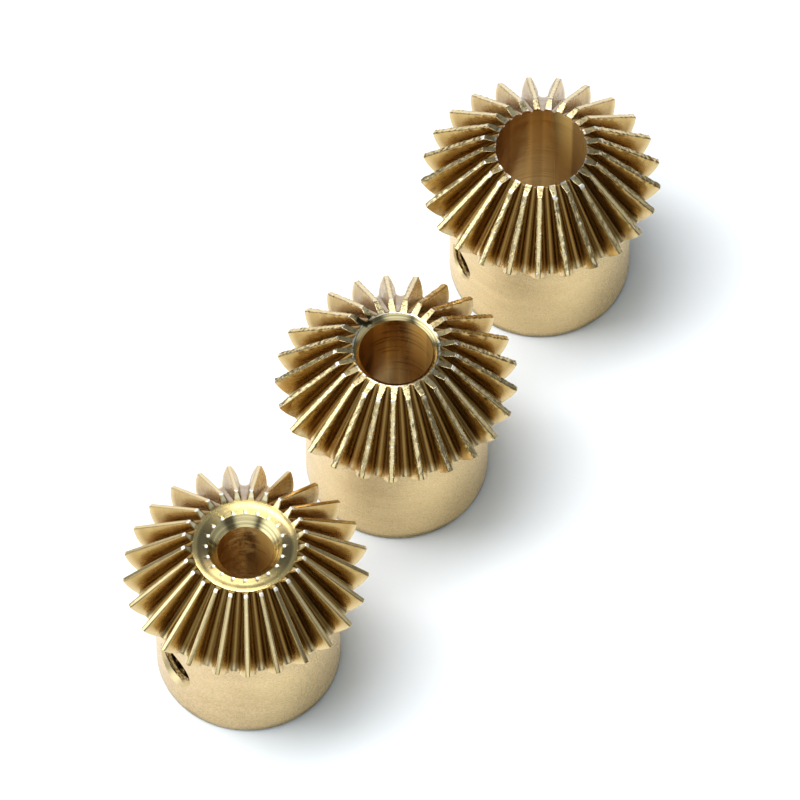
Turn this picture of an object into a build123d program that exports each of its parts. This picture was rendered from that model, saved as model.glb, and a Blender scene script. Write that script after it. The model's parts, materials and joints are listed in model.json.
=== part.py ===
from build123d import *
import math
import os

# Three loose straight bevel gears for right-angle drives, each with its own set screw.
# The gears share one tooth form and one hub, and differ in bore and in the finish of the small end.
# Millimetres, +Z up. The origin is the middle of the set, in the plane that the hubs stand on.

# Tooth form, shared by all three gears
MODULE = 1.0
TEETH = 25
PITCH_ANGLE = 45.0
FACE_WIDTH = 9.0
ADDENDUM = 1.0 * MODULE
DEDENDUM = 1.25 * MODULE
MOUNTING_DISTANCE = 29.2     # hub back face to the pitch cone's apex
TOOTH_AT_PITCH_LARGE = 1.54  # tooth thickness on the pitch cone
TOOTH_AT_PITCH_SMALL = 0.70
TOOTH_AT_FOOT_LARGE = 1.96   # tooth thickness where the flank meets the floor's curve
TOOTH_AT_FOOT_SMALL = 0.84
FLOOR_CURVE_LARGE = 0.20     # rise of the round floor from its middle to its edges
FLOOR_CURVE_SMALL = 0.10

# Hub, shared
HUB_RADIUS = 10.0
HUB_EDGE = 0.4
BORE_BACK_CHAMFER = 0.3
SCREW_HEIGHT = 7.25          # tapped hole's axis above the hub's back face

# Set screws: thread radius and pitch, mouth radius of the tapped hole, hexagon key size.
# At rest each screw is backed off by one turn from a shaft that fills the bore.
M5_SCREW = {"radius": 2.5, "pitch": 0.8, "mouth": 3.0, "key": 2.5}
M4_SCREW = {"radius": 2.0, "pitch": 0.7, "mouth": 2.25, "key": 2.0}
SCREW_CLEARANCE = 0.05       # on the radius, between a screw and its tapped hole
POINT_CHAMFER = 0.25         # share of the thread radius
OUTER_CHAMFER = 0.1          # share of the thread radius
SOCKET_DEPTH = 0.4           # share of the screw's length
CUP_DEPTH = 0.5              # share of the cup's radius
CUP_TIP_RADIUS = 0.01

CUT_MARGIN = 1.2             # how far a cutting solid runs past the metal it cuts

# Each gear: bore, small end, crest width, place, direction of a tooth, and its screw
GEARS = {
    "6mm": {
        "bore_radius": 3.0,
        "small_end": "coned",
        "bore_chamfer": 1.0,
        "floor_end_radius": 5.65,
        "crest": 0.42,
        "place": (-16.1, -24.9),
        "tooth_direction": 98.3,
        "hole_direction": 216.5,
        "screw": M5_SCREW,
        "screw_length": 4.0,
    },
    "8mm": {
        "bore_radius": 4.0,
        "small_end": "flat",
        "bore_chamfer": 0.6,
        "floor_end_radius": 4.8,
        "crest": 0.52,
        "place": (0.1, -0.9),
        "tooth_direction": 109.0,
        "hole_direction": 75.0,
        "screw": M4_SCREW,
        "screw_length": 4.0,
    },
    "10mm": {
        "bore_radius": 5.0,
        "small_end": "flat",
        "bore_chamfer": 0.0,
        "floor_end_radius": 4.75,
        "crest": 0.52,
        "place": (16.1, 24.9),
        "tooth_direction": 109.5,
        "hole_direction": 207.0,
        "screw": M4_SCREW,
        "screw_length": 3.0,
    },
}

SLOPE = math.radians(PITCH_ANGLE)
SIN = math.sin(SLOPE)
COS = math.cos(SLOPE)
PITCH_RADIUS = MODULE * TEETH / 2
LARGE_END = PITCH_RADIUS / SIN            # cone distance of the teeth's large end
SMALL_END = LARGE_END - FACE_WIDTH


def on_cone(cone_distance, height):
    """Radius and Z of a point: its distance from the apex along the pitch cone, and off the cone."""
    radius = cone_distance * SIN + height * COS
    z = MOUNTING_DISTANCE - cone_distance * COS + height * SIN
    return radius, z


def tip_height(cone_distance):
    """Crest above the pitch cone: it tapers to the apex."""
    return ADDENDUM * cone_distance / LARGE_END


def end_face_z(gear):
    """Height of the small end's flat face."""
    knee_radius, knee_z = on_cone(SMALL_END, tip_height(SMALL_END))
    if gear["small_end"] == "coned":
        return knee_z - (knee_radius - gear["floor_end_radius"])
    return knee_z


def blank(gear):
    """The turned blank: hub, back cone, tip cone, small end and bore."""
    bore = gear["bore_radius"]
    tip_radius, tip_z = on_cone(LARGE_END, tip_height(LARGE_END))
    knee_radius, knee_z = on_cone(SMALL_END, tip_height(SMALL_END))
    face_z = end_face_z(gear)
    outline = [
        (bore, BORE_BACK_CHAMFER),
        (bore + BORE_BACK_CHAMFER, 0),
        (HUB_RADIUS - HUB_EDGE, 0),
        (HUB_RADIUS, HUB_EDGE),
        (HUB_RADIUS, tip_z - (tip_radius - HUB_RADIUS)),
        (tip_radius, tip_z),
        (knee_radius, knee_z),
    ]
    if gear["small_end"] == "coned":
        outline.append((gear["floor_end_radius"], face_z))
    if gear["bore_chamfer"] > 0:
        outline.append((bore + gear["bore_chamfer"], face_z))
    outline.append((bore, face_z - gear["bore_chamfer"]))
    profile = make_face(Plane.XZ * Polyline(*outline, close=True))
    return revolve(profile, Axis.Z)


def space_section(gear, cone_distance):
    """Cross-section of one tooth space, square to the pitch cone at a cone distance."""
    toward_small = (LARGE_END - cone_distance) / FACE_WIDTH

    def taper(large, small):
        return large + (small - large) * toward_small

    # The floor runs straight from the dedendum at the large end to where it leaves the end face
    end_radius = gear["floor_end_radius"]
    below_apex = MOUNTING_DISTANCE - end_face_z(gear)
    end_distance = end_radius * SIN + below_apex * COS
    end_height = end_radius * COS - below_apex * SIN
    rise = (end_height + DEDENDUM) / (LARGE_END - end_distance)
    floor = -DEDENDUM + rise * (LARGE_END - cone_distance)

    tip = tip_height(cone_distance)
    foot = floor + taper(FLOOR_CURVE_LARGE, FLOOR_CURVE_SMALL)
    pitch_tooth = taper(TOOTH_AT_PITCH_LARGE, TOOTH_AT_PITCH_SMALL)
    foot_tooth = taper(TOOTH_AT_FOOT_LARGE, TOOTH_AT_FOOT_SMALL)

    def half_space(height, tooth):
        return math.pi * on_cone(cone_distance, height)[0] / TEETH - tooth / 2

    tip_half = half_space(tip, gear["crest"])
    pitch_half = half_space(0, pitch_tooth)
    foot_half = half_space(foot, foot_tooth)
    top = tip + CUT_MARGIN / 2
    outline = [
        ThreePointArc((-tip_half, tip), (-pitch_half, 0), (-foot_half, foot)),
        ThreePointArc((-foot_half, foot), (0, floor), (foot_half, foot)),
        ThreePointArc((foot_half, foot), (pitch_half, 0), (tip_half, tip)),
        Polyline((tip_half, tip), (tip_half, top), (-tip_half, top), (-tip_half, tip)),
    ]
    radius, z = on_cone(cone_distance, 0)
    plane = Plane(origin=(radius, 0, z), x_dir=(0, 1, 0), z_dir=(SIN, 0, -COS))
    return plane * make_face(Curve() + outline)


def tooth_spaces(gear):
    """One tapered tooth space, repeated around the gear half a pitch from the stated tooth."""
    outer = space_section(gear, LARGE_END + CUT_MARGIN)
    inner = space_section(gear, SMALL_END - 2 * CUT_MARGIN)
    space = loft([outer, inner], ruled=True)
    step = 360 / TEETH
    first = gear["tooth_direction"] + step / 2
    return [Rot(0, 0, first + step * index) * space for index in range(TEETH)]


def along_hole(gear, distance):
    """Location on the tapped hole's axis, at a distance from the bore axis, with +Z outward."""
    turn = Rot(0, 0, gear["hole_direction"])
    return turn * Pos(distance, 0, SCREW_HEIGHT) * Rot(0, 90, 0)


def tapped_hole(gear):
    """The two cuts of a tapped hole: straight through one side of the hub, and its countersink."""
    screw = gear["screw"]
    inner_end = gear["bore_radius"] / 2
    outer_end = HUB_RADIUS + CUT_MARGIN
    length = outer_end - inner_end
    hole = along_hole(gear, inner_end + length / 2) * Cylinder(screw["radius"], length)
    # A 90 degree countersink that reaches the mouth radius at the hub's surface
    sink_depth = screw["mouth"] - screw["radius"] + CUT_MARGIN
    sink = Cone(screw["radius"], screw["radius"] + sink_depth, sink_depth)
    sink_start = HUB_RADIUS - (screw["mouth"] - screw["radius"])
    return [hole, along_hole(gear, sink_start + sink_depth / 2) * sink]


def bevel_gear(gear):
    """One gear in its place: the blank, less its tooth spaces and its tapped hole."""
    body = blank(gear) - tooth_spaces(gear)
    body -= tapped_hole(gear)
    return Pos(*gear["place"], 0) * body.solids().sort_by(SortBy.VOLUME)[-1]


def set_screw(gear):
    """Cup-point set screw with a hexagon socket, one turn short of the bore."""
    screw = gear["screw"]
    length = gear["screw_length"]
    radius = screw["radius"] - SCREW_CLEARANCE
    point = POINT_CHAMFER * screw["radius"]
    body = Cylinder(radius, length)
    body = chamfer(body.edges().sort_by(Axis.Z)[0], point)
    body = chamfer(body.edges().sort_by(Axis.Z)[-1], OUTER_CHAMFER * screw["radius"])
    depth = SOCKET_DEPTH * length
    socket = extrude(RegularPolygon(screw["key"] / 2, 6, major_radius=False), depth)
    cup_radius = radius - 2 * point
    cup_depth = CUP_DEPTH * cup_radius
    cup = Cone(cup_radius, CUP_TIP_RADIUS, cup_depth)
    body -= Pos(0, 0, length / 2 - depth) * socket
    body -= Pos(0, 0, cup_depth / 2 - length / 2) * cup
    centre = gear["bore_radius"] + screw["pitch"] + length / 2
    return Pos(*gear["place"], 0) * along_hole(gear, centre) * body


os.makedirs("parts", exist_ok=True)
for name, gear in GEARS.items():
    export_step(bevel_gear(gear), f"parts/bevel_gear_{name}_bore.step")
    export_step(set_screw(gear), f"parts/set_screw_{name}_gear.step")
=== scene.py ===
import json
import math
from contextlib import contextmanager
from math import atan2, cos, pi, radians, sin, tau
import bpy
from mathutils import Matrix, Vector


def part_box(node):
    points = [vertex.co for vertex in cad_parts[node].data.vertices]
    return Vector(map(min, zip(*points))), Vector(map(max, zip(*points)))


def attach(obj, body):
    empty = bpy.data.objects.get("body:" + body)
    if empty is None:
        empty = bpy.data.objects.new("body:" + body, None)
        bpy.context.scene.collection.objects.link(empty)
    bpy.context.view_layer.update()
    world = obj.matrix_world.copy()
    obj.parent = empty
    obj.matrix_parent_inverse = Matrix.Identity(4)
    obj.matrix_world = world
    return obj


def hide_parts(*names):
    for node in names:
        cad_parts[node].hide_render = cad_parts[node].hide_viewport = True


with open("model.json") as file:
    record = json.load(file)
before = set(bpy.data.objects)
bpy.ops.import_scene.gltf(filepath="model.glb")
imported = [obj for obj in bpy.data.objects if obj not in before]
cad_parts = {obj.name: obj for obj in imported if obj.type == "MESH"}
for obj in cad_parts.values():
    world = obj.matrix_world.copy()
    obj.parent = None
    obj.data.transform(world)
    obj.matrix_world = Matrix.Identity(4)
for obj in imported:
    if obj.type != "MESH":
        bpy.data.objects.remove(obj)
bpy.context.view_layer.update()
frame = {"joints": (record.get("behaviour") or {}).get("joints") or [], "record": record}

from types import SimpleNamespace as Details

import bpy
import bmesh
import numpy as np
from mathutils import Matrix, Vector

# ---- dimensions, in millimetres
MM = 0.001  # Blender works in metres
MODULE = 1.0
TEETH = 25
SLOPE = radians(45)  # pitch cone half angle
MOUNTING_DISTANCE = 29.2  # hub back face to the pitch cone's apex
FACE_WIDTH = 9.0
DEDENDUM = 1.25 * MODULE
TOOTH_AT_PITCH = (1.54, 0.70)  # thickness at the large end, and at the small end
TOOTH_AT_FOOT = (1.96, 0.84)
FLOOR_CURVE = (0.20, 0.10)
HUB_RADIUS = 10.0
BORE_BACK_CHAMFER = 0.3
PITCH_RADIUS = MODULE * TEETH / 2
LARGE_END = PITCH_RADIUS / sin(SLOPE)
SMALL_END = LARGE_END - FACE_WIDTH
SCREW_CLEARANCE = 0.05
M5 = Details(radius=2.5, pitch=0.8, mouth=3.0, key=2.5)
M4 = Details(radius=2.0, pitch=0.7, mouth=2.25, key=2.0)

# Set screws and tapped holes: a 60 degree thread, measured in pitches
THREAD_SIDES = 60  # points round a thread, a multiple of the hexagon's six
THREAD_STEPS = 12  # points along each pitch
THREAD_DEPTH = 0.5413
CREST_HALF_WIDTH = 1 / 16
ROOT_START = 3 / 8  # from the crest's middle
POINT_CHAMFER = 0.25  # share of the thread radius
SOCKET_DEPTH = 0.4  # share of the screw's length

# What differs from gear to gear. Places, bores and hole directions come from the frame.
# burr: size of the crests' burrs, with rows along the tooth to carry them. knee: rounding at the
# small end. bore_tones: low and high tones of the bore's painted coppery reflection, and its
# painted light on the side towards the light. bore_bands: upright painted dark reflection stripes
# in the bore, as direction and half width in degrees, and strength. bore_shade: how dark the
# painted shade
# on its far side is. scratched: strength of its dark scratches. nick: where a dark nick lies.
GEARS = {
    "6mm": Details(
        coned=True, bore_chamfer=1.0, floor_end=5.65, crest=0.42, tooth_direction=98.3,
        screw=M5, screw_length=4.0, burr=0.010, rows=34, knee=0.15, seed=11,
        bore_tones=((0.84, 0.55, 0.20), (1.0, 0.72, 0.30), (0.87, 0.54, 0.16)),
        bore_bands=[], bore_shade=1.0, scratched=0.40, nick=None,
    ),
    "8mm": Details(
        coned=False, bore_chamfer=0.6, floor_end=4.8, crest=0.52, tooth_direction=109.0,
        screw=M4, screw_length=4.0, burr=0.075, rows=54, knee=0.09, seed=23,
        bore_tones=((0.82, 0.53, 0.18), (1.0, 0.70, 0.27), (0.87, 0.50, 0.13)),
        bore_bands=[(178, 50, 0.45), (94, 6, 0.4), (0, 34, 0.5)], bore_shade=1.0, scratched=0.40,
        nick=(-3.5, 3.8, 23.2),
    ),
    "10mm": Details(
        coned=False, bore_chamfer=0.0, floor_end=4.75, crest=0.52, tooth_direction=109.5,
        screw=M4, screw_length=3.0, burr=0.075, rows=54, knee=0.09, seed=37,
        bore_tones=((0.92, 0.59, 0.20), (1.0, 0.73, 0.30), (1.0, 0.67, 0.21)),
        bore_bands=[(178, 46, 0.60), (94, 6, 0.4), (2, 44, 0.85)], bore_shade=0.35, scratched=0.15,
        nick=None,
    ),
}
SURFACES = ["flank", "crest", "face", "sink", "bore", "back", "hub", "cone", "thread"]
MOUNTS = {mount["name"]: mount for mount in frame["record"]["mounts"]}
JOINTS = {joint["name"]: joint for joint in frame["joints"]}
for name, gear in GEARS.items():
    bore = MOUNTS[f"gear_{name}_bore"]
    axis = JOINTS[f"screw_{name}_travel"]["axis"]
    low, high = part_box(f"bevel_gear_{name}_bore")
    screw_low, screw_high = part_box(f"set_screw_{name}_gear")
    gear.place = Vector((bore["pos_m"][0], bore["pos_m"][1], low.z))
    gear.bore = bore["dims"]["r_mm"]
    gear.hole_direction = atan2(axis[1], axis[0])
    gear.hole_height = (screw_low.z + screw_high.z) / 2 / MM


# ---- gear geometry, as rings of points
def on_cone(distance, height):
    """Radius and Z at a distance from the apex along the pitch cone, and a height off it."""
    radius = distance * sin(SLOPE) + height * cos(SLOPE)
    z = MOUNTING_DISTANCE - distance * cos(SLOPE) + height * sin(SLOPE)
    return radius, z


def end_face_z(gear):
    """Height of the small end's flat face."""
    knee_radius, knee_z = on_cone(SMALL_END, SMALL_END / LARGE_END * MODULE)
    return knee_z - (knee_radius - gear.floor_end) if gear.coned else knee_z


def arc(start, middle, end, shares):
    """Points on the circle through three points: X and Y at each share of the way."""
    ax, ay = start
    bx, by = middle
    cx, cy = end
    d = 2 * (ax * (by - cy) + bx * (cy - ay) + cx * (ay - by))
    a2, b2, c2 = ax * ax + ay * ay, bx * bx + by * by, cx * cx + cy * cy
    ux = (a2 * (by - cy) + b2 * (cy - ay) + c2 * (ay - by)) / d
    uy = (a2 * (cx - bx) + b2 * (ax - cx) + c2 * (bx - ax)) / d
    radius = np.hypot(ax - ux, ay - uy)
    a0 = np.arctan2(ay - uy, ax - ux)
    a1 = np.arctan2(cy - uy, cx - ux)
    turn = (a1 - a0 + pi) % tau - pi
    angle = a0 + turn * shares
    return ux + radius * np.cos(angle), uy + radius * np.sin(angle)


# Points across half a tooth space, as shares of the way along each part of its outline
FLOOR_SHARES = np.array([0.0, 0.28, 0.56, 0.80])  # floor's middle towards the foot
FLANK_SHARES = np.linspace(0.0, 0.93, 8)  # foot up to just below the crest's edge
EDGE_SHARES = np.array([0.25, 0.5, 0.75])  # round the crest's edge
CREST_SHARES = np.array([0.0, 0.5, 1.0])  # across half the crest
HALF = len(FLOOR_SHARES) + len(FLANK_SHARES) + len(EDGE_SHARES) + len(CREST_SHARES)
PER_TOOTH = 2 * HALF - 2
COLUMNS = TEETH * PER_TOOTH
FLOOR_BEND = (0.55, 0.3)  # the floor's curve passes here, as shares of the foot's place
CREST_EDGE = 0.28  # share of half the crest that its rounded edge takes


def half_outline(gear, distance):
    """Half a tooth space, from the floor's middle to the crest's: sideways offset and height."""
    share = (LARGE_END - distance) / FACE_WIDTH

    def taper(pair):
        return pair[0] + (pair[1] - pair[0]) * share

    below_apex = MOUNTING_DISTANCE - end_face_z(gear)
    end_distance = (gear.floor_end + below_apex) * sin(SLOPE)
    end_height = (gear.floor_end - below_apex) * sin(SLOPE)
    rise = (end_height + DEDENDUM) / (LARGE_END - end_distance)
    floor = -DEDENDUM + rise * (LARGE_END - distance)
    tip = MODULE * distance / LARGE_END
    foot = floor + taper(FLOOR_CURVE)

    def half_space(height, tooth):
        return pi * on_cone(distance, height)[0] / TEETH - tooth / 2

    tip_half = half_space(tip, gear.crest)
    pitch_half = half_space(0, taper(TOOTH_AT_PITCH))
    foot_half = half_space(foot, taper(TOOTH_AT_FOOT))
    half_pitch = half_space(tip, 0)
    floor_bend = (FLOOR_BEND[0] * foot_half, floor + FLOOR_BEND[1] * (foot - floor))
    fx, fy = arc((0, floor), floor_bend, (foot_half, foot), FLOOR_SHARES)
    sx, sy = arc((foot_half, foot), (pitch_half, 0), (tip_half, tip), FLANK_SHARES)
    edge = CREST_EDGE * (half_pitch - tip_half)
    after = np.array((tip_half + edge, tip))
    before = np.array((sx[-1], sy[-1]))
    corner = np.array((tip_half, tip))
    t = EDGE_SHARES[:, None]
    bend = before * (1 - t) ** 2 + corner * 2 * t * (1 - t) + after * t * t
    cx = after[0] + (half_pitch - after[0]) * CREST_SHARES
    cy = np.full(len(CREST_SHARES), tip)
    return (np.concatenate([fx, sx, bend[:, 0], cx]),
            np.concatenate([fy, sy, bend[:, 1], cy]))


def outline(gear, distance):
    """The whole section at a cone distance: per column, its angle and its height."""
    x, h = half_outline(gear, distance)
    radius = on_cone(distance, h)[0]
    turn = x / radius
    # One space, from the crest before it up to the crest after it, which starts the next one
    turn = np.concatenate([-turn[::-1], turn[1:-1]])
    h = np.concatenate([h[::-1], h[1:-1]])
    steps = (np.arange(TEETH) + 0.5) * tau / TEETH + radians(gear.tooth_direction)
    angles = (steps[:, None] + turn[None, :]).ravel()
    return angles, np.tile(h, TEETH)


# Which columns of the outline lie on a crest or its rounded edges
HALF_ON_CREST = np.arange(HALF) >= len(FLOOR_SHARES) + len(FLANK_SHARES)
ON_CREST = np.tile(np.concatenate([HALF_ON_CREST[::-1], HALF_ON_CREST[1:-1]]), TEETH)


def inward(gear, distance):
    """Unit vectors into the metal at each column of the outline, as (turn, height) components."""
    angles, h = outline(gear, distance)
    radius = on_cone(distance, h)[0]
    dx = np.roll(angles, -1) - np.roll(angles, 1)
    dx = ((dx + pi) % tau - pi) * radius
    dh = np.roll(h, -1) - np.roll(h, 1)
    length = np.hypot(dx, dh)
    return dh / length / radius, -dx / length


def smooth_noise(rng, count, spacing):
    """Repeatable noise along a line: values near -1 to 1, one bump per spacing samples."""
    knots = rng.uniform(-1, 1, int(count / spacing) + 3)
    at = np.arange(count) / spacing
    low = at.astype(int)
    part = at - low
    part = part * part * (3 - 2 * part)
    return knots[low] * (1 - part) + knots[low + 1] * part


SEARCH_REACH = 2.4  # how far past the teeth's nominal small end the search starts
SEARCH_STEPS = 40
BORE_WALL = 0.06  # least metal between a tooth space's end and the bore


def small_end_distance(gear):
    """Per column, the cone distance where the tooth space or crest leaves the small end's face."""
    if gear.coned:
        return np.full(COLUMNS, SMALL_END)
    low = np.full(COLUMNS, SMALL_END - SEARCH_REACH)
    high = np.full(COLUMNS, LARGE_END)
    for _ in range(SEARCH_STEPS):
        middle = (low + high) / 2
        ring = tooth_ring(gear, middle)
        outside = (ring.z > end_face_z(gear)) | (ring.radius < gear.bore + BORE_WALL)
        low = np.where(outside, middle, low)
        high = np.where(outside, high, middle)
    return (low + high) / 2


class Ring:
    """A closed ring of points round a gear: an angle, a radius and a Z per column."""

    def __init__(self, angle, radius, z):
        parts = (np.broadcast_to(part, COLUMNS) for part in (angle, radius, z))
        self.parts = np.array([*parts], float)
        self.angle, self.radius, self.z = self.parts

    def points(self):
        x = self.radius * np.cos(self.angle)
        y = self.radius * np.sin(self.angle)
        return np.stack([x, y, self.z], 1)

    def towards(self, other, share):
        return Ring(*(self.parts + (other.parts - self.parts) * share))


def tooth_ring(gear, distance, into=0.0):
    """The toothed section at a cone distance for every column, moved a little into the metal."""
    share = (LARGE_END - distance) / FACE_WIDTH
    a0, h0 = outline(gear, LARGE_END)
    a1, h1 = outline(gear, SMALL_END)
    angle = a0 + (a1 - a0) * share
    h = h0 + (h1 - h0) * share
    if into:
        da, dh = inward(gear, distance)
        angle = angle + da * into
        h = h + dh * into
    radius, z = on_cone(distance, h)
    return Ring(angle, radius, z)


def bent(before, corner, after, count):
    """Rings that round a corner between two rings."""
    a, b, c = before.parts, corner.parts, after.parts
    return [Ring(*(a * (1 - t) ** 2 + b * 2 * t * (1 - t) + c * t * t))
            for t in np.linspace(0, 1, count + 2)[1:-1]]


EDGE = 0.07  # rounding of the teeth's large-end edges
KNEE_RINGS = 4  # rings that round the teeth's small-end edges
LARGE_END_RINGS = 2  # the same at the large end
HUB_EDGE = 0.4

# Burrs: rows along the tooth per bump, and share of the gear's burr size
BURR_COARSE = (3.1, 0.55)
BURR_FINE = (1.2, 0.6)
BURR_LIFT = (1.3, 0.6)
FLANK_SHARE = 0.5  # of a burr, where it reaches down the flank
LIFT_UP, LIFT_OUT = 0.7, 0.3  # of a burr's lift, along Z and along the radius

# The coned gear's small end. Heights are from its flat face.
CONE_FOOT = 0.04  # the pegs stop this far outside and above the face's edge
LIP_INSET = 0.07
LIP_PROFILE = [  # radius from the lip, height, and how evenly the columns spread
    (0.045, 0.015, 0.7), (0.0, 0.025, 0.8), (-0.30, 0.025, 1.0), (-0.48, 0.010, 1.0),
    (-0.60, -0.030, 1.0),
]
FACE_DEPTH = 0.03  # the ring between lip and countersink lies this far down
FACE_OUTER = 4.7
DIMPLES = 20  # little pits that the countersink's chatter left round its edge
DIMPLE_RING = 4.16
DIMPLE_SIZE = 0.19
DIMPLE_DEPTH = 0.07
DIMPLE_RADII = [4.36, 4.29, 4.24, 4.19, 4.15, 4.11, 4.07, 4.03]
SINK_PROFILE = [  # radius from the countersink's edge, and depth
    (0.0, 0.05), (-0.03, 0.08), (-0.3, 0.35), (-0.7, 0.75), (-0.93, 0.98),
]
SINK_END = 1.06  # depth where the plain bore starts

# The flat small ends
FACE_SLACK = 0.001  # a ring this far below the face belongs to a tooth space
BORE_LIP = 0.03  # the face's last ring, outside a bore that has no countersink
RIM = 0.012  # tiny chamfer on a rim
BESIDE = 0.05  # rings this far from a corner hold its shape
PLAIN_BORE = 0.7  # depth where a sharp-edged bore's rings are evenly spread
FIRST_SPREAD = (0.42, 0.6)  # depth and share of the spread on the way there
BELOW_SINK = 0.06


def burred_rows(gear, start, stop):
    """Toothed rings from the large end to the small end, with burrs along the crests' edges."""
    rng = np.random.RandomState(gear.seed)
    count = gear.rows + 1
    shares = [row / gear.rows for row in range(count)]
    rows = [tooth_ring(gear, start + (stop - start) * share) for share in shares]
    for tooth in range(TEETH):
        for side in (-1, 1):
            coarse = smooth_noise(rng, count, BURR_COARSE[0])
            fine = smooth_noise(rng, count, BURR_FINE[0])
            wander = gear.burr * (BURR_COARSE[1] * coarse + BURR_FINE[1] * fine)
            lift = gear.burr * BURR_LIFT[1] * smooth_noise(rng, count, BURR_LIFT[0])
            for step in range(1, len(CREST_SHARES) + len(EDGE_SHARES) + 1):
                column = (tooth * PER_TOOTH + side * step) % COLUMNS
                weight = 1.0 if ON_CREST[column] else FLANK_SHARE
                for row, ring in enumerate(rows):
                    ring.angle[column] += side * wander[row] * weight / ring.radius[column]
                    ring.z[column] += lift[row] * weight * LIFT_UP
                    ring.radius[column] += lift[row] * weight * LIFT_OUT
    return rows


def edge_of_face(gear, end):
    """The first ring on the small end's face, just inside the rounded ends of the teeth."""
    face_z = end_face_z(gear)
    if gear.coned:
        ring = tooth_ring(gear, SMALL_END, into=gear.knee)
        limit = gear.floor_end + CONE_FOOT
        short = ring.radius < limit
        return Ring(ring.angle, np.where(short, limit, ring.radius),
                    np.where(short, face_z + CONE_FOOT, ring.z))
    ring = tooth_ring(gear, end)
    radius = np.maximum(ring.radius - gear.knee, gear.bore + BORE_LIP)
    return Ring(ring.angle, radius, np.where(ring.z < face_z - FACE_SLACK, ring.z, face_z))


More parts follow.
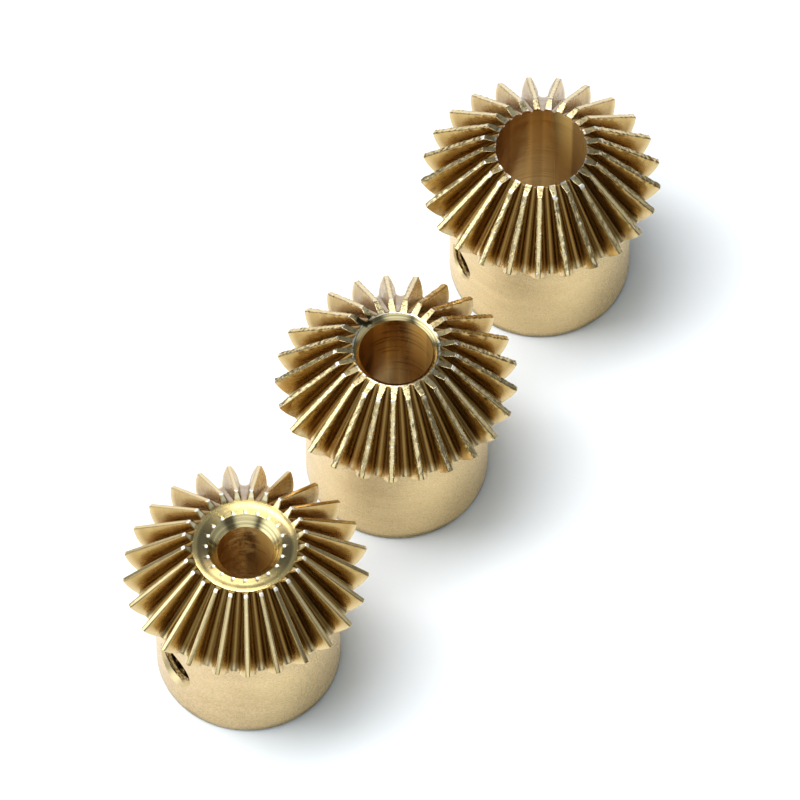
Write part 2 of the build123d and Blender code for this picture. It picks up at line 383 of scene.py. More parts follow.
class GearShape:
    """The rings of one gear in order round its cross-section, each with the surface after it."""

    def __init__(self, gear):
        self.gear = gear
        self.rings = []
        self.face_z = end_face_z(gear)
        self.bore = gear.bore
        self.sink = gear.bore + gear.bore_chamfer
        first = tooth_ring(gear, LARGE_END).angle[0]
        self.even = first + np.arange(COLUMNS) * tau / COLUMNS
        end = small_end_distance(gear)
        self.inner = edge_of_face(gear, end)
        rows = burred_rows(gear, LARGE_END - EDGE, end + gear.knee)
        self.add("flank", *rows, *bent(rows[-1], tooth_ring(gear, end), self.inner, KNEE_RINGS))
        self.add("face", self.inner)
        if gear.coned:
            top = self.coned_end()
        elif gear.bore_chamfer:
            top = self.countersunk_end()
        else:
            top = self.sharp_end()
        self.down_the_bore(top)
        self.up_the_hub(rows[0])

    def add(self, surface, *rings):
        self.rings += [(ring, surface) for ring in rings]

    def add_round(self, surface, *places):
        """Adds round rings: radius and Z of each, and how evenly its columns are spread."""
        self.add(surface, *(self.round(*place) for place in places))

    def round(self, radius, z, evenly=1.0):
        """A round ring. Its columns lie between the face's edge and even spacing."""
        turn = (self.even - self.inner.angle + pi) % tau - pi
        return Ring(self.inner.angle + turn * evenly, radius, z)

    def coned_end(self):
        """Lip, dimpled ring and wide countersink. Returns the Z where the plain bore starts."""
        face_z = self.face_z
        rim = self.round(self.gear.floor_end, face_z, 0.6)
        self.add("face", *(self.inner.towards(rim, share) for share in (0.25, 0.5, 0.75)))
        lip = self.gear.floor_end - LIP_INSET
        self.add_round("face", *((lip + offset, face_z + rise, evenly)
                                 for offset, rise, evenly in LIP_PROFILE))
        self.add_round("face", (FACE_OUTER, face_z - FACE_DEPTH))
        turn = (self.even * DIMPLES / tau + 0.5) % 1.0 - 0.5
        beside = turn * tau / DIMPLES * DIMPLE_RING
        for radius in DIMPLE_RADII:
            away = np.hypot(beside, radius - DIMPLE_RING) / DIMPLE_SIZE
            pit = DIMPLE_DEPTH * np.sqrt(np.clip(1 - away * away, 0, 1))
            self.add_round("face", (radius, face_z - FACE_DEPTH - pit))
        self.add_round("sink", *((self.sink + offset, face_z - depth)
                                 for offset, depth in SINK_PROFILE))
        return face_z - SINK_END

    def countersunk_end(self):
        """Flat end and small countersink. Returns the Z where the plain bore starts."""
        face_z, sink, chamfer = self.face_z, self.sink, self.gear.bore_chamfer
        lip = self.round(sink + BESIDE, face_z)
        self.add("face", *(self.inner.towards(lip, share) for share in (0.3, 0.6, 0.85)), lip)
        self.add_round("sink", (sink + RIM, face_z - RIM),
                       (sink - BELOW_SINK, face_z - BELOW_SINK),
                       (sink - chamfer / 2, face_z - chamfer / 2),
                       (self.bore + BESIDE, face_z - chamfer + BESIDE))
        self.add_round("bore", (self.bore + RIM, face_z - chamfer - RIM))
        return face_z - chamfer - BELOW_SINK

    def sharp_end(self):
        """Flat end that the bore cuts sharply. Returns the Z where the plain bore starts."""
        lip = Ring(self.inner.angle, self.bore + BORE_LIP, self.inner.z)
        self.add("face", *(self.inner.towards(lip, share) for share in (0.35, 0.7)))
        self.add("bore", Ring(lip.angle, self.bore + RIM, lip.z - RIM),
                 Ring(lip.angle, self.bore, lip.z - BESIDE))
        depth, evenly = FIRST_SPREAD
        self.add_round("bore", (self.bore, self.face_z - depth, evenly))
        return self.face_z - PLAIN_BORE

    def down_the_bore(self, top):
        """The bore, its back chamfer, and the start of the hub's back face."""
        bore, back = self.bore, BORE_BACK_CHAMFER
        self.add_round("bore", *((bore, z) for z in np.linspace(top, back + 0.03, 4)),
                       (bore + 0.02, back - 0.01))
        self.add_round("back", (bore + back - 0.03, 0.03), (bore + back + 0.02, 0.0))

    def up_the_hub(self, first_row):
        """The hub, and the back cone out to the teeth's large end."""
        for turn in np.radians((0, 22.5, 45, 67.5, 90)):
            self.add_round("hub", (HUB_RADIUS - HUB_EDGE + HUB_EDGE * sin(turn),
                                   HUB_EDGE - HUB_EDGE * cos(turn)))
        tip_radius, tip_z = on_cone(LARGE_END, MODULE)
        hub_top = tip_z - (tip_radius - HUB_RADIUS)
        self.add_round("hub", *((HUB_RADIUS, z) for z in np.linspace(1.2, hub_top - 0.12, 4)))
        large = tooth_ring(self.gear, LARGE_END)
        large_in = tooth_ring(self.gear, LARGE_END, into=EDGE)
        halfway = self.even + (large_in.angle - self.even) * 0.5
        foot = Ring(halfway, HUB_RADIUS + 0.75, hub_top + 0.75)
        self.add("cone", Ring(self.even, HUB_RADIUS + 0.02, hub_top - 0.02),
                 Ring(self.even, HUB_RADIUS + 0.10, hub_top + 0.10), foot,
                 *(foot.towards(large_in, share) for share in (0.35, 0.7)))
        self.add("flank", large_in, *bent(large_in, large, first_row, LARGE_END_RINGS))


def grid_mesh(name, rings, surface_index, closed_end):
    """A mesh of quads between rings. closed_end joins the last ring to the first."""
    count, columns = len(rings), len(rings[0])
    rows = count if closed_end else count - 1
    row, column = np.mgrid[:rows, :columns].reshape(2, -1)
    here, following = row * columns, (row + 1) % count * columns
    beside = (column + 1) % columns
    faces = np.stack([here + column, here + beside, following + beside, following + column], 1)
    mesh = bpy.data.meshes.new(name)
    mesh.from_pydata(np.concatenate(rings).tolist(), [], faces.tolist())
    mesh.polygons.foreach_set("material_index", np.array(surface_index, np.int32)[row])
    return mesh


@contextmanager
def edited(mesh):
    """The mesh as a bmesh, which is written back to it at the end."""
    shape = bmesh.new()
    shape.from_mesh(mesh)
    yield shape
    shape.to_mesh(mesh)
    shape.free()


def thread_shape(phase, minor, major):
    """Radius of a thread at each phase of a turn, flat at its top and bottom."""
    off = np.abs((phase + 0.5) % 1.0 - 0.5)
    rise = np.clip((ROOT_START - off) / (ROOT_START - CREST_HALF_WIDTH), 0, 1)
    return minor + (major - minor) * rise


def thread_floor(screw):
    """Radius at the bottom of a screw's thread."""
    return screw.radius - THREAD_DEPTH * screw.pitch


THREAD_ANGLES = np.arange(THREAD_SIDES) * tau / THREAD_SIDES
LEAST_STEP = 0.2  # of a full step, between an end and the station beside it


def threaded_rings(screw, start, stop, clearance):
    """Rings of a threaded rod along +X, from start to stop, as (x, radius per angle) pairs."""
    minor = thread_floor(screw)
    # Screw and hole share their stations, so that their facets stay apart by the clearance
    step = screw.pitch / THREAD_STEPS
    first = math.ceil(start / step + LEAST_STEP)
    last = math.floor(stop / step - LEAST_STEP)
    rings = []
    for x in (start, *(np.arange(first, last + 1) * step), stop):
        phase = x / screw.pitch - THREAD_ANGLES / tau
        rings.append((x, thread_shape(phase, minor, screw.radius) - clearance))
    return rings


def rod_mesh(name, rings, surface_index):
    """A closed mesh from rings about the X axis, each (x, radius), with a fan at either end."""
    y, z = np.cos(THREAD_ANGLES), np.sin(THREAD_ANGLES)
    rows = [np.stack(np.broadcast_arrays(x, radius * y, radius * z), 1) for x, radius in rings]
    mesh = grid_mesh(name, rows, surface_index, False)
    with edited(mesh) as shape:
        for end in (0, -1):
            first = end % len(rows) * THREAD_SIDES
            shape.verts.ensure_lookup_table()
            loop = shape.verts[first:first + THREAD_SIDES]
            centre = shape.verts.new(sum((vert.co for vert in loop), Vector()) / THREAD_SIDES)
            for vert, beside in zip(loop, loop[1:] + loop[:1]):
                shape.faces.new((vert, beside, centre)).material_index = surface_index[end]
        bmesh.ops.recalc_face_normals(shape, faces=shape.faces)
    return mesh


def link(name, mesh):
    piece = bpy.data.objects.new(name, mesh)
    bpy.context.scene.collection.objects.link(piece)
    return piece


def apply_modifiers(piece):
    graph = bpy.context.evaluated_depsgraph_get()
    mesh = bpy.data.meshes.new_from_object(piece.evaluated_get(graph))
    piece.modifiers.clear()
    piece.data = mesh


def tidy_cut(mesh):
    """Splits the many-sided faces of a cut, and drops slivers that fold onto each other."""
    with edited(mesh) as shape:
        many_sided = [face for face in shape.faces if len(face.verts) > 4]
        bmesh.ops.triangulate(shape, faces=many_sided)
        shape.verts.index_update()
        alike = {}
        for face in shape.faces:
            alike.setdefault(frozenset(vert.index for vert in face.verts), []).append(face)
        folded = [face for faces in alike.values() if len(faces) > 1 for face in faces]
        bmesh.ops.delete(shape, geom=folded, context="FACES")


def shade_smooth(mesh, sharp_degrees):
    """Smooth shading, with a crease wherever two faces meet at more than an angle."""
    mesh.polygons.foreach_set("use_smooth", np.ones(len(mesh.polygons), bool))
    mesh.set_sharp_from_angle(angle=radians(sharp_degrees))


def gear_mesh(name, gear):
    """The gear as one closed skin, before its tapped hole is cut."""
    rings, surfaces = zip(*GearShape(gear).rings)
    points = [ring.points() for ring in rings]
    mesh = grid_mesh(name, points, [SURFACES.index(surface) for surface in surfaces], True)
    # The crests are a surface of their own
    crest = ON_CREST & np.roll(ON_CREST, -1)
    index = np.zeros(len(mesh.polygons), np.int32)
    mesh.polygons.foreach_get("material_index", index)
    index = index.reshape(-1, COLUMNS)
    index[:gear.rows + KNEE_RINGS + 1][:, crest] = SURFACES.index("crest")
    mesh.polygons.foreach_set("material_index", index.ravel())
    with edited(mesh) as shape:
        bmesh.ops.recalc_face_normals(shape, faces=shape.faces)
    return mesh


CUT_START = 0.55  # share of the bore's radius
CUT_MARGIN = 0.8  # past the hub's surface
BORE_FLARE = 0.05  # how far inside the thread's radius the flare at the bore starts


def hole_cutter(name, gear):
    """The tapped hole's void: a threaded rod flared at both ends, in the gear's own frame."""
    screw = gear.screw
    rings = []
    for x, radius in threaded_rings(screw, gear.bore * CUT_START, HUB_RADIUS + CUT_MARGIN, 0.0):
        outer_flare = screw.mouth - (HUB_RADIUS - x)
        inner_flare = screw.radius - BORE_FLARE - (x - gear.bore)
        rings.append((x, np.maximum(np.maximum(radius, outer_flare), inner_flare)))
    mesh = rod_mesh(name, rings, [SURFACES.index("thread")] * len(rings))
    turn = Matrix.Rotation(gear.hole_direction, 4, "Z")
    mesh.transform(Matrix.Translation((0, 0, gear.hole_height)) @ turn)
    return link(name, mesh)


GEAR_SHARP = 35  # faces that meet at more degrees than this keep a crease
SCREW_SHARP = 30


def build_gear(name, gear, metals):
    """One gear in its place: a grid of rings, with the tapped hole cut out of it."""
    piece = link(f"gear_{name}", gear_mesh(f"gear_{name}", gear))
    cutter = hole_cutter(f"hole_{name}", gear)
    for mesh in (piece.data, cutter.data):
        for metal in metals:
            mesh.materials.append(metal)
    cut = piece.modifiers.new("hole", "BOOLEAN")
    cut.operation = "DIFFERENCE"
    cut.solver = "EXACT"
    cut.object = cutter
    apply_modifiers(piece)
    bpy.data.objects.remove(cutter)
    tidy_cut(piece.data)
    piece.data.transform(Matrix.Scale(MM, 4))
    piece.location = gear.place
    shade_smooth(piece.data, GEAR_SHARP)
    return piece


def hexagon(apothem):
    """Radius of a hexagon at each of a thread ring's angles."""
    sector = pi / 3
    return apothem / np.cos((THREAD_ANGLES % sector) - sector / 2)


SCREW_OUTSIDE, SCREW_SOCKET = range(2)  # the order of screw_metals


def build_screw(name, gear, metals):
    """A cup-point set screw with a hexagon socket, threaded to mesh with its hole."""
    screw = gear.screw
    radius = screw.radius - SCREW_CLEARANCE
    start = gear.bore + screw.pitch
    stop = start + gear.screw_length
    point = POINT_CHAMFER * screw.radius
    rim = thread_floor(screw) - SCREW_CLEARANCE - 0.02
    cup = radius - 2 * point
    socket = hexagon(screw.key / 2)
    floor = stop - SOCKET_DEPTH * gear.screw_length
    rings, surfaces = [], []

    def add(x, r, surface=SCREW_OUTSIDE):
        rings.append((x, r))
        surfaces.append(surface)

    # The cup and its rim, the thread between two tapers, and the outer end
    for share in (0.04, 0.5, 0.93):
        add(start + cup / 2 * (1 - share), cup * share)
    add(start + 0.01, cup + 0.02)
    add(start, cup + 0.06)
    for x, thread in threaded_rings(screw, start + 0.02, stop - 0.02, SCREW_CLEARANCE):
        end_taper = np.minimum(cup + 0.09 + (x - start) * 0.6, rim + (stop - x))
        add(x, np.minimum(thread, end_taper))
    for share in (0.15, 0.5, 0.85):
        add(stop, rim + (socket * 1.05 - rim) * share)
    add(stop - 0.01, socket * 1.02)
    # The socket, with a shallow point at its floor
    for share in (0.03, 0.1, 0.5, 1.0):
        add(stop + (floor - stop) * share, socket, SCREW_SOCKET)
    add(floor - 0.05, socket * 0.85, SCREW_SOCKET)
    add(floor - 0.3, socket * 0.06, SCREW_SOCKET)
    piece = link(f"screw_{name}", rod_mesh(f"screw_{name}", rings, surfaces))
    for metal in metals:
        piece.data.materials.append(metal)
    piece.data.transform(Matrix.Scale(MM, 4))
    centre = gear.place + Vector((0, 0, gear.hole_height * MM))
    turn = Matrix.Rotation(gear.hole_direction, 4, "Z")
    piece.matrix_world = Matrix.Translation(centre) @ turn
    shade_smooth(piece.data, SCREW_SHARP)
    return piece


# ---- shader nodes
class Nodes:
    """A node tree under construction. A value is a number, a tuple or another node's output."""

    def __init__(self, tree):
        self.tree = tree

    def add(self, kind, inputs=None, **settings):
        node = self.tree.nodes.new(f"ShaderNode{kind}")
        for key, value in settings.items():
            setattr(node, key, value)
        for key, value in (inputs or {}).items():
            self.put(node.inputs[key], value)
        return node

    def put(self, socket, value):
        if isinstance(value, bpy.types.NodeSocket):
            self.tree.links.new(value, socket)
        else:
            socket.default_value = (*value, 1.0) if socket.type == "RGBA" else value

    def math(self, operation, a, b=0.0, c=0.0):
        return self.add("Math", {0: a, 1: b, 2: c}, operation=operation).outputs[0]

    def plus(self, a, b):
        return self.math("ADD", a, b)

    def minus(self, a, b):
        return self.math("SUBTRACT", a, b)

    def times(self, a, b):
        return self.math("MULTIPLY", a, b)

    def absolute(self, a):
        return self.math("ABSOLUTE", a)

    def hypotenuse(self, a, b):
        return self.math("SQRT", self.plus(self.times(a, a), self.times(b, b)))

    def vector(self, operation, a, b=(0, 0, 0), **named):
        return self.add("VectorMath", {0: a, 1: b, **named}, operation=operation).outputs[0]

    def combine(self, x, y, z):
        return self.add("CombineXYZ", {0: x, 1: y, 2: z}).outputs[0]

    def ramp(self, value, low, high, to_low=0.0, to_high=1.0, smooth=True):
        """Carries the range low to high onto to_low to to_high, and holds the ends beyond it."""
        return self.add("MapRange", {0: value, 1: low, 2: high, 3: to_low, 4: to_high},
                        interpolation_type="SMOOTHSTEP" if smooth else "LINEAR").outputs[0]

    def mix(self, factor, a, b):
        """Colour a to colour b."""
        return self.add("Mix", {0: factor, 6: a, 7: b}, data_type="RGBA").outputs[2]


# ---- metal finishes
class Metal(Nodes):
    """A metal material under construction, measured in millimetres in the piece's own frame."""

    def __init__(self, name, seed):
        self.material = bpy.data.materials.new(name)
        self.material.use_nodes = True
        super().__init__(self.material.node_tree)
        self.shader = self.tree.nodes["Principled BSDF"]
        self.set("Metallic", 1.0)
        self.seed = seed
        self.bumped = None
        object_place = self.add("TexCoord").outputs["Object"]
        self.position = self.vector("SCALE", object_place, Scale=1 / MM)
        self.x, self.y, self.z = self.add("SeparateXYZ", {0: self.position}).outputs
        self.radius = self.hypotenuse(self.x, self.y)
        # Distance from the apex along the pitch cone, and height off it
        below = self.minus(MOUNTING_DISTANCE, self.z)
        self.cone_distance = self.times(self.plus(self.radius, below), sin(SLOPE))
        self.height = self.times(self.minus(self.radius, below), sin(SLOPE))

    def set(self, name, value):
        self.put(self.shader.inputs[name], value)

    def tint(self, amount, colour):
        self.colour = self.mix(amount, self.colour, colour)

    def roughen(self, amount, most):
        self.roughness = self.plus(self.roughness, self.times(amount, most))

    def finished(self):
        self.set("Base Color", self.colour)
        self.set("Roughness", self.roughness)
        return self.material

    def noise(self, scale, place=None, detail=3.0, roughness=0.5, shift=0.0):
        """Noise from 0 to 1, about one bump per 1/scale millimetres. scale may differ by axis."""
        if not isinstance(scale, tuple):
            scale = (scale, scale, scale)
        place = self.vector("MULTIPLY", self.position if place is None else place, scale)
        place = self.vector("ADD", place, (self.seed * 3.1 + shift, self.seed * 1.7, shift * 2.3))
        return self.add("TexNoise", {"Vector": place, "Scale": 1.0, "Detail": detail,
                                     "Roughness": roughness}).outputs[0]

    def lines(self, along, per_mm, detail=2.0):
        """Noise that varies along one measure only: the lines that a cutting tool leaves."""
        slow = self.vector("SCALE", self.position, Scale=0.06)
        place = self.vector("ADD", slow, self.combine(0.0, 0.0, self.times(along, per_mm)))
        return self.noise(1.0, place, detail)

    def bump(self, height, depth, strength=0.5):
        """Adds relief: height runs from 0 to 1, depth is in millimetres."""
        node = self.add("Bump", {"Strength": strength, "Distance": depth * MM, "Height": height})
        if self.bumped is not None:
            self.put(node.inputs["Normal"], self.bumped)
        self.bumped = node.outputs[0]
        self.set("Normal", self.bumped)

    def turned(self, amount):
        """Fine turning marks round the axis stretch highlights across them."""
        around = self.combine(self.times(self.y, -1.0), self.x, 0.0)
        world = self.add("VectorTransform", {0: around}, vector_type="VECTOR",
                         convert_from="OBJECT", convert_to="WORLD").outputs[0]
        self.set("Anisotropic", amount)
        self.set("Anisotropic Rotation", 0.25)
        self.set("Tangent", world)

    def toward(self, direction):
        """1 on the side that faces a direction in degrees, -1 on the opposite side."""
        angle = self.math("ARCTAN2", self.y, self.x)
        return self.math("COSINE", self.minus(angle, radians(direction)))

    def across(self, count, direction):
        """Distance in millimetres from the nearest of so many rays spread round the axis."""
        angle = self.math("ARCTAN2", self.y, self.x)
        turns = self.math("MULTIPLY_ADD", angle, count / tau, 0.5 - direction * count / 360)
        off = self.absolute(self.minus(self.math("FRACT", turns), 0.5))
        return self.times(off, self.times(self.radius, tau / count))

    def nick(self, gear):
        """The dark nick that one gear has at the rim of its bore."""
        if gear.nick is None:
            return
        away = self.vector("SUBTRACT", self.position, gear.nick)
        far = self.add("VectorMath", {0: away}, operation="LENGTH").outputs["Value"]
        ragged = self.plus(far, self.times(self.noise(2.2, shift=12.0), 1.3))
        self.tint(self.ramp(ragged, 1.75, 1.35), NICK)


# Colours, in linear light
BRASS = (0.72, 0.56, 0.30)
# Near-white colour of painted glints and highlights
PAINTED_GLINT = (1.0, 0.96, 0.86)
NICK = (0.045, 0.030, 0.014)
FLANK_DEEP, FLANK_HIGH = (0.26, 0.14, 0.035), (0.59, 0.415, 0.155)
CREST = (0.74, 0.57, 0.29)
CREST_SIDE, CREST_SIDE_TORN = (0.46, 0.33, 0.15), (0.32, 0.22, 0.09)
FACE = (0.77, 0.60, 0.26)
# Painted shade on the coned gear's ring
FACE_PAINTED_SHADE = (0.19, 0.14, 0.075)
# Painted glint on the coned gear's pegs
PEG_PAINTED_GLINT = (0.97, 0.87, 0.60)
LAND_LOW, LAND_HIGH = (0.42, 0.31, 0.14), (0.90, 0.75, 0.42)
LAND_SHADED = (0.22, 0.16, 0.075)
SINK = (0.88, 0.71, 0.36)
HUB_TUMBLED = ((0.60, 0.45, 0.23), (0.74, 0.565, 0.32))
HUB_TURNED = ((0.67, 0.51, 0.26), (0.79, 0.605, 0.325))
# Painted light on a hub's right side, and painted shade along its foot
HUB_PAINTED_LIGHT = (1.0, 0.77, 0.40)
HUB_FOOT_PAINTED_SHADE = (0.36, 0.27, 0.11)
BORE_PAINTED_SHADE = (0.50, 0.29, 0.11)
BORE_SWIRL = (1.0, 0.76, 0.34)
BORE_PAINTED_BAND = (0.36, 0.19, 0.06)
BORE_SCRATCH = (0.30, 0.16, 0.05)
THREAD_SHADE_LOW, THREAD_SHADE_HIGH = (0.13, 0.075, 0.025), (0.46, 0.31, 0.12)
THREAD_MOUTH = (0.66, 0.52, 0.28)
OXIDE_LOW, OXIDE_HIGH = (0.018, 0.018, 0.020), (0.030, 0.030, 0.034)
OXIDE_RUBBED = (0.16, 0.155, 0.15)
SOCKET_LOW, SOCKET_HIGH = (0.012, 0.012, 0.013), (0.04, 0.04, 0.043)

# Directions round a gear, in degrees from +X, that its painted light and shade were fitted to
LIT_SIDE = 15
FAR_SIDE = 195
HUB_PAINTED_LIGHT_SIDE = -20
FACE_STRETCH = 0.97  # how far the face's turning marks stretch a highlight
SCREW_SEED = 5
BAND_EDGE = 3  # half the width over which an upright band starts, in degrees


def flank_finish(metal, gear):
    """Cut tooth flanks: golden brown, darker towards the floor, with streaks along the tooth."""
    wander = metal.vector("SCALE", metal.position, Scale=0.22)
    along = metal.combine(metal.times(metal.height, 1.7), metal.times(metal.cone_distance, 0.25),
                          0.0)
    streaks = metal.noise(1.0, metal.vector("ADD", wander, along), 3.0, 0.55)
    depth = metal.ramp(metal.height, -0.9, 0.9, smooth=False)
    level = metal.plus(metal.times(depth, 0.85), metal.times(metal.ramp(streaks, 0.3, 0.7), 0.15))
    stain = metal.ramp(metal.noise(0.7, detail=2.0, shift=5.0), 0.25, 0.75)
    level = metal.times(level, metal.plus(0.78, metal.times(stain, 0.3)))
    rubbed = metal.ramp(metal.cone_distance, LARGE_END - 1.3, LARGE_END - 0.05)
    metal.colour = metal.mix(level, FLANK_DEEP, FLANK_HIGH)
    metal.tint(rubbed, BRASS)
    metal.roughness = metal.ramp(streaks, 0.2, 0.8, 0.20, 0.34)
    metal.bump(streaks, 0.004)
    metal.bump(metal.noise(6.0, detail=2.0, shift=9.0), 0.002)


def crest_finish(metal, gear):
    """Tooth crests: pale turned metal, torn where the cutter left burrs, with painted sparkling
    glints that are strongest there.
    """
    rough = gear.burr > 0.03
    torn = metal.noise(4.5 if rough else 3.0, roughness=0.65)
    across = metal.plus(metal.across(TEETH, gear.tooth_direction),
                        metal.times(metal.minus(torn, 0.5), 0.35 if rough else 0.08))
    middle = metal.ramp(across, gear.crest / 2 - 0.02, gear.crest / 2 - 0.13)
    # Painted glints sparkle in small patches on the crest
    painted_sparkles = metal.ramp(metal.noise(3.2, detail=2.0, shift=8.0), 0.58, 0.70)
    body = metal.mix(metal.times(painted_sparkles, 0.7 if rough else 0.25), CREST, PAINTED_GLINT)
    metal.colour = metal.mix(middle, CREST_SIDE_TORN if rough else CREST_SIDE, body)
    # Painted glint at the crest's end at the small end, in patches where it is torn
    knee = metal.ramp(metal.cone_distance, SMALL_END + 0.52, SMALL_END + 0.32)
    painted_glint_patches = metal.ramp(metal.noise(1.1, shift=3.0), 0.45, 0.6) if rough else 1.0
    knee = metal.times(knee, painted_glint_patches)
    metal.tint(knee, PAINTED_GLINT)
    metal.roughness = metal.ramp(knee, 0.0, 1.0, 0.24, 0.55)
    metal.bump(torn, 0.014 if rough else 0.002, 0.6)


def turned_finish(metal, gear, per_mm, colour, roughness, stretch, depth, dark=0.78):
    """A face-turned surface: fine lines round the axis, as dark as a share of its colour."""
    lines = metal.lines(metal.radius, per_mm)
    dull = metal.noise(0.8, shift=2.0)
    low = tuple(channel * dark for channel in colour)
    metal.colour = metal.mix(metal.ramp(lines, 0.3, 0.7), low, colour)
    metal.roughness = metal.ramp(dull, 0.3, 0.7, roughness * 0.85, roughness * 1.2)
    metal.turned(stretch)
    metal.bump(lines, depth)


def ring_painted_shade_and_glints(metal, gear):
    """The coned gear's ring: painted shade inside its lip at two sides, and painted glints on each
    dimple and each peg.
    """
    # Painted shade at the ring's left and right sides
    side = metal.ramp(metal.absolute(metal.toward(0)), 0.62, 0.96)
    side = metal.times(side, metal.ramp(metal.radius, 5.30, 4.90, 0.25, 0.85))
    metal.tint(side, FACE_PAINTED_SHADE)
    # Painted glint on each dimple
    off = metal.hypotenuse(metal.across(DIMPLES, 0), metal.minus(metal.radius, DIMPLE_RING))
    painted_dimple_glint = metal.ramp(off, 0.24, 0.17)
    metal.tint(painted_dimple_glint, PAINTED_GLINT)
    metal.roughen(painted_dimple_glint, 0.35)
    face_z = end_face_z(gear)
    # Painted glint on the pegs that stand above the face
    pegs = metal.ramp(metal.z, face_z + 0.12, face_z + 0.34)
    metal.tint(pegs, PEG_PAINTED_GLINT)
    metal.roughen(pegs, 0.15)
    stretch = metal.times(metal.ramp(off, 0.17, 0.24), metal.ramp(pegs, 1.0, 0.0))
    metal.set("Anisotropic", metal.times(stretch, FACE_STRETCH))


def land_tones(metal, gear):
    """The flat small ends: torn lands, with painted shade at two sides and a patchy painted glint
    at the bore's rim.
    """
    torn = metal.ramp(metal.noise(3.0, shift=1.0), 0.36, 0.52)
    metal.colour = metal.mix(torn, LAND_LOW, LAND_HIGH)
    # Painted shade at the left and right sides
    side = metal.ramp(metal.absolute(metal.toward(0)), 0.45, 0.90, 0.0, 0.7)
    metal.tint(side, LAND_SHADED)
    # Painted glint in patches round the rim of the bore
    rim = gear.bore + gear.bore_chamfer
    painted_rim_glint = metal.ramp(metal.radius, rim + 0.30, rim + 0.12)
    painted_rim_glint = metal.times(painted_rim_glint, metal.ramp(metal.noise(2.4, shift=4.0), 0.40, 0.58))
    metal.tint(painted_rim_glint, PAINTED_GLINT)
    metal.roughen(painted_rim_glint, 0.25)


def face_finish(metal, gear):
    """The small end's flat ring."""
    turned_finish(metal, gear, 9.0, FACE, 0.26, FACE_STRETCH, 0.0012)
    if gear.coned:
        ring_painted_shade_and_glints(metal, gear)
    else:
        land_tones(metal, gear)


def hub_finish(metal, gear):
    """The hub's side: tumbled and speckled on the coned gear, finely turned on the others, with
    painted light on its right side and painted shade along its foot.
    """
    tumbled = gear.coned
    grain = metal.noise(3.2 if tumbled else 5.0, detail=4.0, roughness=0.6)
    cloud = metal.noise((0.25, 0.25, 0.5), shift=4.0)
    lines = metal.lines(metal.z, 3.0 if tumbled else 7.0, 3.0)
    share = 0.15 if tumbled else 0.5
    tone = metal.plus(metal.times(grain, 1 - share), metal.times(lines, share))
    tone = metal.plus(metal.times(tone, 0.7), metal.times(cloud, 0.3))
    low, high = HUB_TUMBLED if tumbled else HUB_TURNED
    metal.colour = metal.mix(metal.ramp(tone, 0.36, 0.64), low, high)
    # Painted light on the hub's right side
    metal.tint(metal.ramp(metal.toward(HUB_PAINTED_LIGHT_SIDE), 0.2, 1.0, 0.0, 0.9), HUB_PAINTED_LIGHT)
    # Painted shade along the hub's foot, with a ragged edge
    painted_foot_shade = metal.plus(metal.z, metal.times(cloud, 1.2))
    metal.tint(metal.ramp(painted_foot_shade, 1.7, 0.7), HUB_FOOT_PAINTED_SHADE)
    metal.roughness = metal.ramp(grain, 0.3, 0.7, 0.22, 0.34)
    metal.bump(grain, 0.0022 if tumbled else 0.0008)
    metal.bump(lines, 0.0004 if tumbled else 0.0012)
    if not tumbled:
        metal.turned(0.4)


def bore_finish(metal, gear):
    """The bored hole: tinted coppery as a painted reflection of itself, with painted shade on its
    far side, painted light towards the light, painted dark reflection stripes, and turning marks
    that fade in and out.
    """
    lines = metal.lines(metal.z, 2.6, 4.0)
    patch = metal.ramp(metal.noise(0.45, detail=2.0, shift=6.0), 0.42, 0.58)
    scratches = metal.times(metal.minus(lines, 0.5), metal.ramp(patch, 0.0, 1.0, 0.4, 2.2))
    # Soft upright stripes of painted reflection, in the tone along with the turning marks
    bands = metal.noise((0.45, 0.45, 0.0), roughness=0.6, shift=9.0)
    tone = metal.plus(scratches, metal.times(metal.minus(bands, 0.5), 1.1))
    low, high, painted_light_tone = gear.bore_tones
    # Painted coppery reflection, in low and high tones
    metal.colour = metal.mix(metal.ramp(tone, -0.14, 0.14), low, high)
    # Painted shade on the far side
    away = metal.ramp(metal.toward(FAR_SIDE), -0.1, 0.9, 0.0, gear.bore_shade)
    metal.tint(away, BORE_PAINTED_SHADE)
    lit = metal.ramp(metal.toward(LIT_SIDE), 0.30, 0.85)
    if gear.coned:
        # Curved golden scratches in the smallest bore
        swirl = metal.noise((1.3, 1.3, 2.2), detail=2.0, shift=17.0)
        line = metal.ramp(metal.absolute(metal.minus(swirl, 0.5)), 0.050, 0.008)
        line = metal.times(line, metal.ramp(metal.noise(0.6, shift=19.0), 0.38, 0.50))
        metal.tint(line, BORE_SWIRL)
    # Painted light on the side towards the light
    metal.tint(lit, painted_light_tone)
    # Painted dark reflection stripes at fixed directions
    for centre, reach, strength in gear.bore_bands:
        near = metal.ramp(metal.toward(centre), cos(radians(reach + BAND_EDGE)),
                          cos(radians(reach - BAND_EDGE)), 0.0, strength)
        metal.tint(near, BORE_PAINTED_BAND)
    metal.tint(metal.ramp(scratches, 0.02, -0.26, 0.0, gear.scratched), BORE_SCRATCH)
    metal.roughness = metal.ramp(patch, 0.0, 1.0, 0.26, 0.20)
    # A dull film on the side that faces the light, and in patches in the smallest bore
    if gear.coned:
        film = metal.ramp(metal.noise(0.8, shift=13.0), 0.28, 0.66, 0.0, 0.85)
        film = metal.times(film, metal.ramp(metal.toward(LIT_SIDE), -0.95, -0.2))
        lit = metal.math("MAXIMUM", lit, film)
    metal.set("Metallic", metal.ramp(lit, 0.0, 1.0, 1.0, 0.40))
    metal.turned(0.6)
    metal.bump(scratches, 0.006, 0.6)


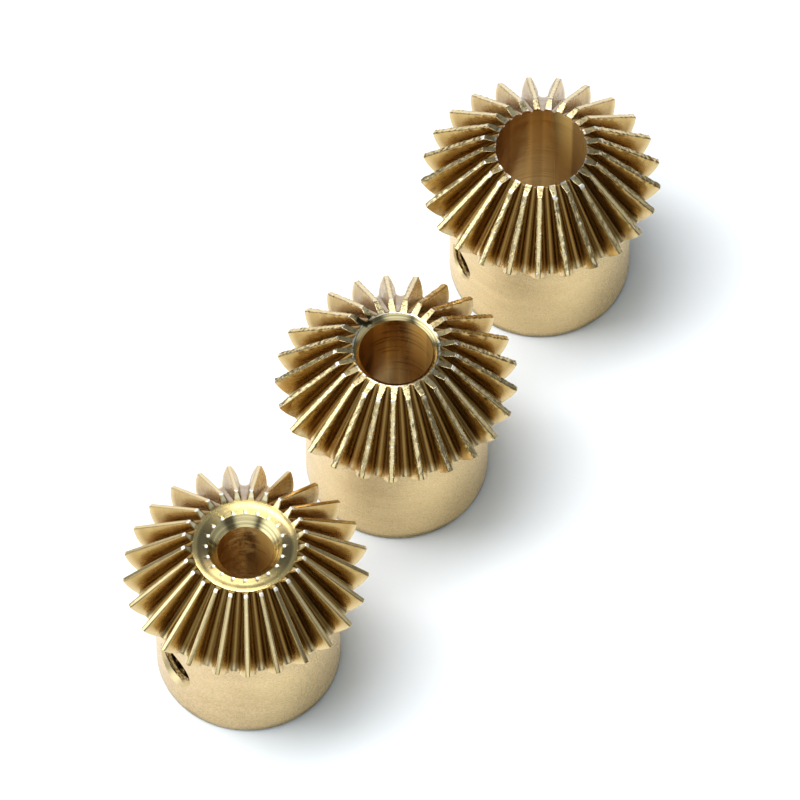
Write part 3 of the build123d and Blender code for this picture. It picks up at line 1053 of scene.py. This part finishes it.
def thread_finish(metal, gear):
    """The tapped hole: a bright countersink at the hub's surface, and threads further in darkened
    by painted shade.
    """
    grain = metal.noise(4.0)
    # Painted shade: dark tones for the threads deeper in the hole
    metal.colour = metal.mix(metal.ramp(grain, 0.40, 0.70), THREAD_SHADE_LOW, THREAD_SHADE_HIGH)
    sink = gear.screw.mouth - gear.screw.radius
    mouth = metal.ramp(metal.radius, HUB_RADIUS - sink - 0.15, HUB_RADIUS - sink + 0.05)
    metal.tint(mouth, THREAD_MOUTH)
    metal.roughness = metal.ramp(mouth, 0.0, 1.0, 0.2, 0.42)
    metal.bump(grain, 0.006, 0.4)


def screw_metals():
    """Black oxide on steel: rubbed to bare metal in patches outside, and darker in the socket."""
    metals = []
    for name, low, high in (("screw thread", OXIDE_LOW, OXIDE_HIGH),
                            ("screw socket", SOCKET_LOW, SOCKET_HIGH)):
        metal = Metal(name, SCREW_SEED)
        grain = metal.noise(5.0, roughness=0.6)
        if name == "screw thread":
            worn = metal.ramp(metal.noise(1.6, shift=3.0), 0.55, 0.72)
            high = metal.mix(worn, high, OXIDE_RUBBED)
        metal.colour = metal.mix(grain, low, high)
        metal.roughness = metal.ramp(grain, 0.3, 0.7, 0.28, 0.46)
        metal.bump(grain, 0.006)
        metals.append(metal.finished())
    return metals


FINISHES = {
    "flank": [flank_finish],
    "crest": [crest_finish],
    "face": [face_finish],
    "sink": [turned_finish, 6.0, SINK, 0.17, 0.8, 0.0008, 0.45],
    "bore": [bore_finish],
    "back": [turned_finish, 5.0, BRASS, 0.28, 0.8, 0.002],
    "hub": [hub_finish],
    "cone": [turned_finish, 6.0, BRASS, 0.30, 0.5, 0.002],
    "thread": [thread_finish],
}
NICKED = ["crest", "face", "sink", "back", "cone"]


def gear_metals(name, gear):
    """One material per surface, in the order of SURFACES."""
    metals = []
    for surface in SURFACES:
        metal = Metal(f"brass {name} {surface}", gear.seed)
        finish, *look = FINISHES[surface]
        finish(metal, gear, *look)
        if surface in NICKED:
            metal.nick(gear)
        metals.append(metal.finished())
    return metals


def stand_for(piece, body, node):
    """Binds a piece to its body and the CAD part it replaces."""
    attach(piece, body)
    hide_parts(node)


steel = screw_metals()
for name, gear in GEARS.items():
    wheel = build_gear(name, gear, gear_metals(name, gear))
    stand_for(wheel, f"gear_{name}", f"bevel_gear_{name}_bore")
    screw = build_screw(name, gear, steel)
    stand_for(screw, f"screw_{name}", f"set_screw_{name}_gear")

# ---- stage, lights and camera
CAMERA_TARGET = Vector((0.49, 6.96, 0.0)) * MM
CAMERA_ELEVATION = radians(58.64)
CAMERA_DISTANCE = 1.0
CAMERA_ROLL = radians(-0.33)
CAMERA_LENS = 407.4
CAMERA_SENSOR = 36.0
CAMERA_CLIP = (0.01, 50.0)

FLOOR_SIDE = 6.0
FLOOR_COLOUR = (0.89, 0.92, 0.95)
FLOOR_IN_METAL = (0.79, 0.79, 0.79)  # the metal doesn't mirror the extra light on the floor

KEY_PLACE = Vector((-0.33, 0.08, 0.94))
KEY_SIZE = (0.90, 0.60)
KEY_COLOUR = (1.0, 0.99, 0.975)
KEY_ENERGY = 10.0
WASH_ENERGY = 4.0  # more of the same light, on the floor only: shadows fade sooner

# What the metal mirrors of the studio: azimuth, elevation and radius in degrees, and brightness
STUDIO_COLOUR = (0.84, 0.93, 1.0)
STUDIO_BASE = 0.12
STUDIO_PANELS = [
    (190, 30, 36, 2.3),  # tall panel at the left
    (268, 36, 32, 1.2),  # front
    (90, 62, 30, 0.35),  # overhead, behind
    (350, 18, 30, 0.5),  # right
]
PANEL_CORE = 0.45  # share of a panel's radius that is at full brightness


def put_facing(item, place, right, up, back):
    """Places a camera or light in the scene, with its own three axes given."""
    turn = Matrix((right, up, back)).transposed().to_4x4()
    item.matrix_world = Matrix.Translation(place) @ turn
    bpy.context.scene.collection.objects.link(item)


def make_camera():
    forward = Vector((0, cos(CAMERA_ELEVATION), -sin(CAMERA_ELEVATION)))
    right = Vector((1, 0, 0))
    up = right.cross(forward)
    turned_right = right * cos(CAMERA_ROLL) + up * sin(CAMERA_ROLL)
    turned_up = up * cos(CAMERA_ROLL) - right * sin(CAMERA_ROLL)
    data = bpy.data.cameras.new("camera")
    data.lens = CAMERA_LENS
    data.sensor_width = CAMERA_SENSOR
    data.clip_start, data.clip_end = CAMERA_CLIP
    camera = bpy.data.objects.new("camera", data)
    place = CAMERA_TARGET - forward * CAMERA_DISTANCE
    put_facing(camera, place, turned_right, turned_up, -forward)
    bpy.context.scene.camera = camera


def make_world():
    """A dim studio with soft-edged bright panels in fixed directions."""
    world = bpy.data.worlds.new("studio")
    world.use_nodes = True
    nodes = Nodes(world.node_tree)
    direction = nodes.add("TexCoord").outputs["Generated"]
    total = STUDIO_BASE
    for azimuth, elevation, spread, brightness in STUDIO_PANELS:
        turn, tilt, spread = (radians(angle) for angle in (azimuth, elevation, spread))
        flat = cos(tilt)
        towards = (flat * cos(turn), flat * sin(turn), sin(tilt))
        facing = nodes.add("VectorMath", {0: direction, 1: towards},
                           operation="DOT_PRODUCT").outputs["Value"]
        panel = nodes.ramp(facing, cos(spread), cos(spread * PANEL_CORE), 0.0, brightness)
        total = nodes.plus(panel, total)
    background = nodes.tree.nodes["Background"]
    nodes.put(background.inputs["Strength"], total)
    nodes.put(background.inputs["Color"], STUDIO_COLOUR)
    bpy.context.scene.world = world


def make_floor():
    """A pale floor. The metal mirrors a slightly darker one than the camera sees."""
    half = FLOOR_SIDE / 2
    mesh = bpy.data.meshes.new("floor")
    mesh.from_pydata([(-half, -half, 0), (half, -half, 0), (half, half, 0), (-half, half, 0)],
                     [], [(0, 1, 2, 3)])
    floor = link("floor", mesh)
    material = bpy.data.materials.new("floor")
    material.use_nodes = True
    nodes = Nodes(material.node_tree)
    shader = nodes.tree.nodes["Principled BSDF"]
    seen = nodes.add("LightPath").outputs["Is Camera Ray"]
    nodes.put(shader.inputs["Base Color"], nodes.mix(seen, FLOOR_IN_METAL, FLOOR_COLOUR))
    nodes.put(shader.inputs["Roughness"], 0.9)
    nodes.put(shader.inputs["Specular IOR Level"], 0.0)
    mesh.materials.append(material)
    return floor


def make_light(name, energy):
    """A soft light above the left of the scene, aimed at its middle."""
    light = bpy.data.lights.new(name, "AREA")
    light.shape = "RECTANGLE"
    light.size, light.size_y = KEY_SIZE
    light.energy = energy
    light.color = KEY_COLOUR
    lamp = bpy.data.objects.new(name, light)
    back = KEY_PLACE.normalized()
    across = Vector((0, 1, 0)).cross(back).normalized()
    put_facing(lamp, KEY_PLACE, across, back.cross(across), back)
    return lamp


def make_stage():
    make_camera()
    make_world()
    floor = make_floor()
    make_light("key", KEY_ENERGY)
    washed = bpy.data.collections.new("washed")
    washed.objects.link(floor)
    make_light("wash", WASH_ENERGY).light_linking.receiver_collection = washed
    bpy.context.scene.view_settings.view_transform = "Standard"


make_stage()
